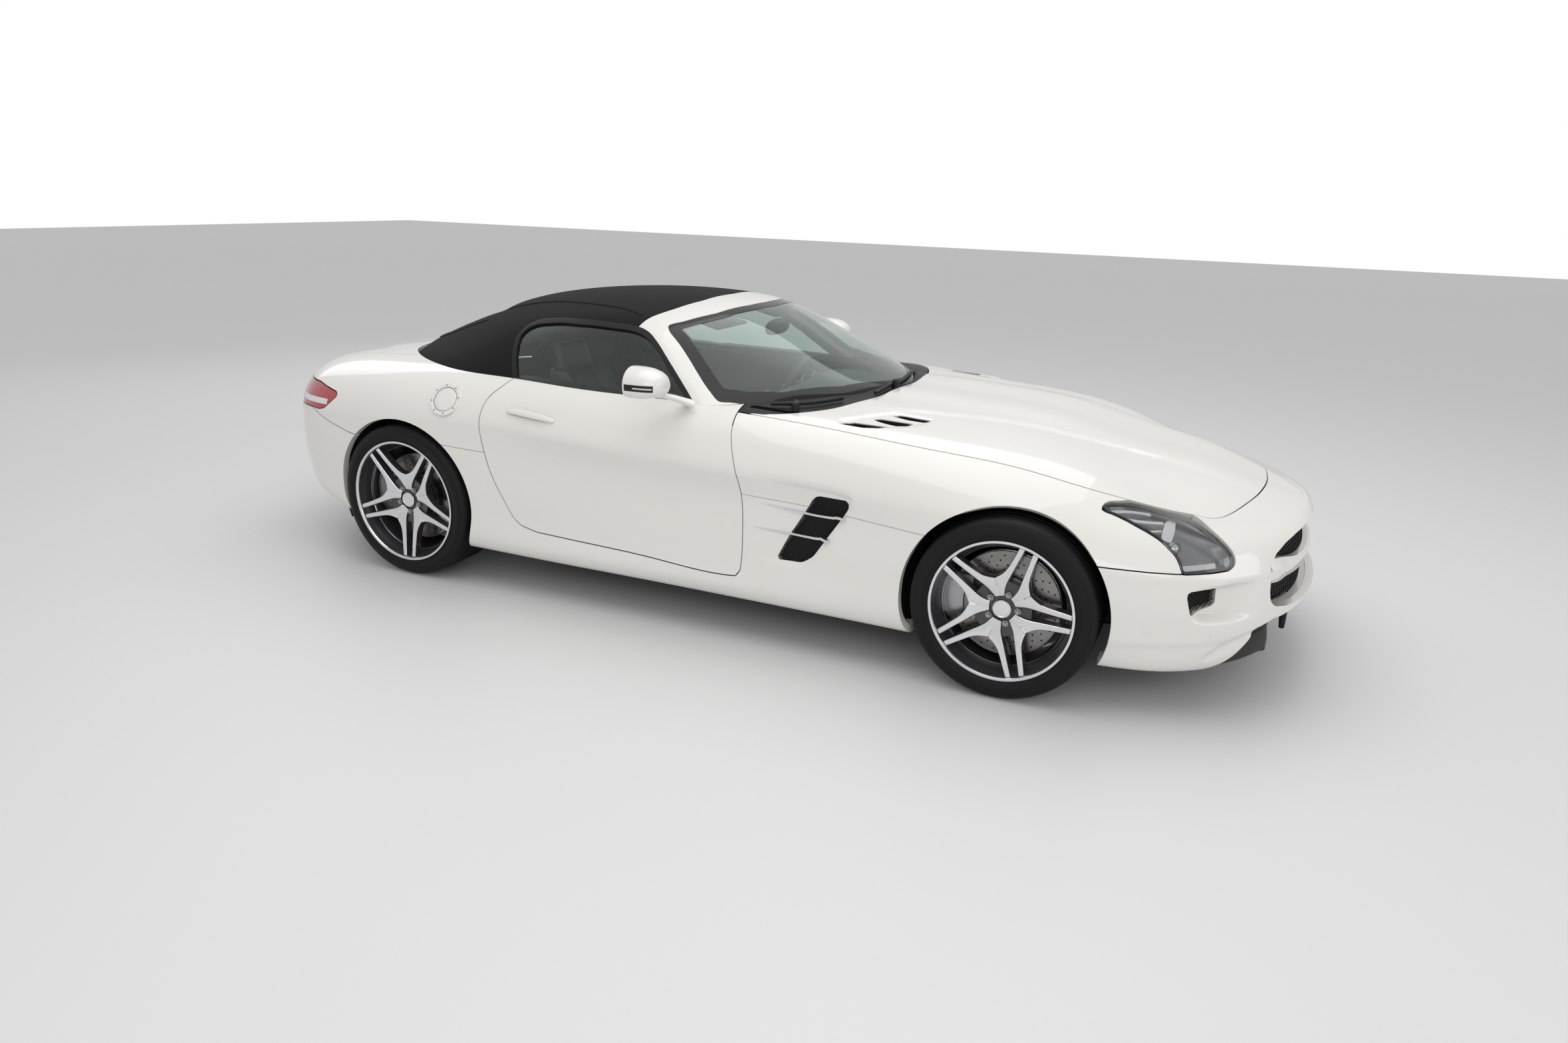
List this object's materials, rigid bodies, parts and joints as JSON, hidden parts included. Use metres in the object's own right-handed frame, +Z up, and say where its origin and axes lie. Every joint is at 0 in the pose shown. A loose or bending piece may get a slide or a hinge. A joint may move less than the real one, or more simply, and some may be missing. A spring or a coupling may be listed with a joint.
{
  "type": "roadster convertible",
  "caption": "Long-bonnet two-seat roadster with a raised fabric soft top, opening doors, bonnet and boot lid, and steered road wheels.",
  "frame": {"origin": "on the ground midway between nose and tail, on the centre plane", "axes": "+X forward to the nose, +Y to the car's left, +Z up"},
  "size_m": [4.638, 2.078, 1.2598],
  "materials": {
    "alloy": "machined",
    "black_plastic": "satin",
    "chassis": "dark grey",
    "engine_alloy": "cast",
    "exhaust_steel": "polished",
    "glass": "tinted",
    "head_lens": "clear lens",
    "leather": "black leather",
    "mesh": "gloss black mesh",
    "paint": "gloss pearl white",
    "plate": "blank",
    "soft_top_fabric": "woven",
    "steel": "cast",
    "tail_lens": "red lens",
    "trim_black": "soft black",
    "tyre": "matt"
  },
  "bodies": {
    "body": {"bulkhead": "chassis", "centre_console": "leather", "cowl": "black_plastic", "dashboard": "trim_black", "engine_block": "engine_alloy", "exhaust": "exhaust_steel", "fender_left": "paint", "fender_right": "paint", "floor_pan": "chassis", "front_bumper": "paint", "front_subframe": "chassis", "grille": "mesh", "headlamps": "head_lens", "plates": "plate", "quarter_left": "paint", "quarter_right": "paint", "rear_bumper": "paint", "rear_deck": "paint", "rear_knuckles": "chassis", "rear_subframe": "chassis", "rear_window": "glass", "seat_left": "leather", "seat_right": "leather", "side_vents": "mesh", "sill_left": "paint", "sill_right": "paint", "soft_top": "soft_top_fabric", "tail_lamps": "tail_lens", "undertray": "black_plastic", "wheel_liners": "black_plastic", "windscreen": "glass", "windscreen_frame": "paint", "wipers": "black_plastic"},
    "bonnet": {"bonnet": "paint"},
    "boot_lid": {"boot_lid": "paint"},
    "door_left": {"door_glass_left": "glass", "door_left": "paint", "mirror_left": "paint"},
    "door_right": {"door_glass_right": "glass", "door_right": "paint", "mirror_right": "paint"},
    "upright_fl": {"knuckle_fl": "steel"},
    "upright_fr": {"knuckle_fr": "steel"},
    "wheel_fl": {"rim_fl": "alloy", "tyre_fl": "tyre"},
    "wheel_fr": {"rim_fr": "alloy", "tyre_fr": "tyre"},
    "wheel_rl": {"rim_rl": "alloy", "tyre_rl": "tyre"},
    "wheel_rr": {"rim_rr": "alloy", "tyre_rr": "tyre"},
    "steering_wheel": {"steering_wheel": "trim_black"}
  },
  "joints": [
    {"name": "door_left_swing", "type": "hinge", "parent": "body", "child": "door_left", "pos_m": [0.207, 0.895, 0.48], "axis": [0, 0, -1], "range_deg": [0, 65]},
    {"name": "door_right_swing", "type": "hinge", "parent": "body", "child": "door_right", "pos_m": [0.207, -0.895, 0.48], "axis": [0, 0, 1], "range_deg": [0, 65]},
    {"name": "bonnet_lift", "type": "hinge", "parent": "body", "child": "bonnet", "pos_m": [0.119, 0, 0.83], "axis": [0, -1, 0], "range_deg": [0, 50]},
    {"name": "boot_lift", "type": "hinge", "parent": "body", "child": "boot_lid", "pos_m": [-1.925, 0, 0.862], "axis": [0, 1, 0], "range_deg": [0, 70]},
    {"name": "steer_left", "type": "hinge", "parent": "body", "child": "upright_fl", "pos_m": [1.314, 0.783, 0.334], "axis": [0, 0, 1], "range_deg": [-33, 33]},
    {"name": "steer_right", "type": "hinge", "parent": "body", "child": "upright_fr", "pos_m": [1.314, -0.783, 0.334], "axis": [0, 0, 1], "range_deg": [-33, 33]},
    {"name": "steering_wheel_turn", "type": "hinge", "parent": "body", "child": "steering_wheel", "pos_m": [-0.051, 0.37, 0.775], "axis": [-0.9272, 0, 0.3746], "range_deg": [-449, 449]},
    {"name": "wheel_fl_spin", "type": "hinge", "parent": "upright_fl", "child": "wheel_fl", "pos_m": [1.314, 0.833, 0.334], "axis": [0, 1, 0], "continuous": true},
    {"name": "wheel_fr_spin", "type": "hinge", "parent": "upright_fr", "child": "wheel_fr", "pos_m": [1.314, -0.833, 0.334], "axis": [0, 1, 0], "continuous": true},
    {"name": "wheel_rl_spin", "type": "hinge", "parent": "body", "child": "wheel_rl", "pos_m": [-1.366, 0.817, 0.3425], "axis": [0, 1, 0], "continuous": true},
    {"name": "wheel_rr_spin", "type": "hinge", "parent": "body", "child": "wheel_rr", "pos_m": [-1.366, -0.817, 0.3425], "axis": [0, 1, 0], "continuous": true}
  ],
  "couplings": [
    {"joint": "steer_right", "follows": "steer_left", "ratio": 1},
    {"joint": "steering_wheel_turn", "follows": "steer_left", "ratio": 13.6}
  ]
}
